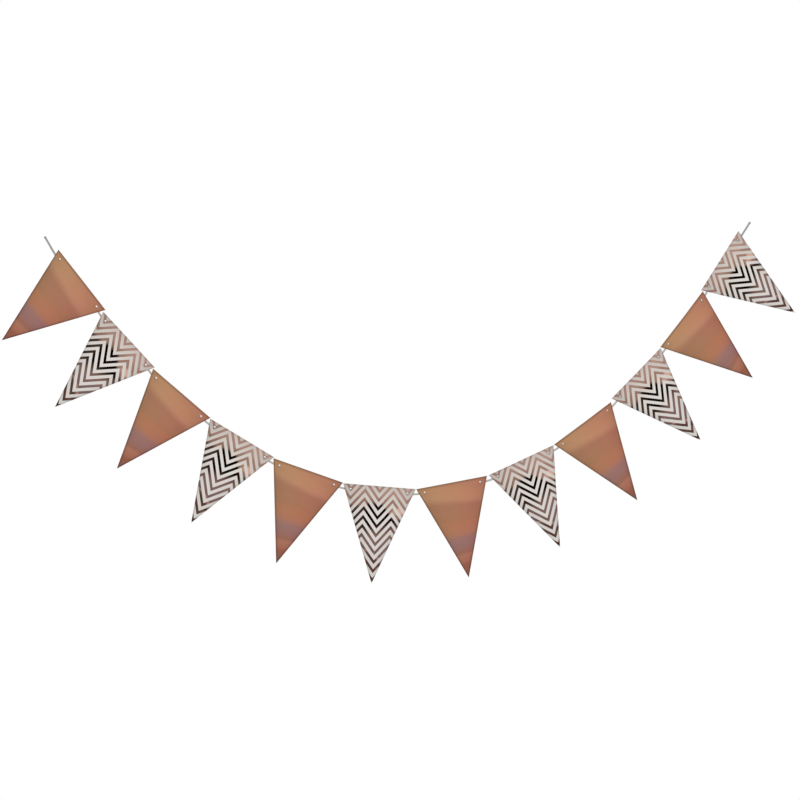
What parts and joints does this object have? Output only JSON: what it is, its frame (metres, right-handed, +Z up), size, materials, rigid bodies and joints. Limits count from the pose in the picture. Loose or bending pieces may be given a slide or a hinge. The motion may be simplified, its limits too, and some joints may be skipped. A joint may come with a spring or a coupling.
{
  "type": "paper bunting",
  "caption": "Swag of triangular card pennants on a cord, plain rose-gold foil ones alternating with pale ones striped in foil chevrons.",
  "frame": {"origin": "left end of the cord, where a hook or nail holds it", "axes": "+X along the swag from the cord's left end to its right, +Z up, and the printed faces of the pennants look along -Y"},
  "size_m": [1.6644, 0.0118, 0.7593],
  "materials": {
    "foil_card": "rose-gold metal foil laminated on card, satin, with soft broad reflections",
    "chevron_card": "matt pale warm-grey card, hot-foiled with narrow rose-gold chevrons",
    "cord": "twisted light grey cotton cord, matt"
  },
  "bodies": {
    "root": {"pennant_01": "foil_card", "pennant_02": "chevron_card", "pennant_03": "foil_card", "pennant_04": "chevron_card", "pennant_05": "foil_card", "pennant_06": "chevron_card", "pennant_07": "foil_card", "pennant_08": "chevron_card", "pennant_09": "foil_card", "pennant_10": "chevron_card", "pennant_11": "foil_card", "pennant_12": "chevron_card", "cord": "cord"}
  },
  "joints": []
}
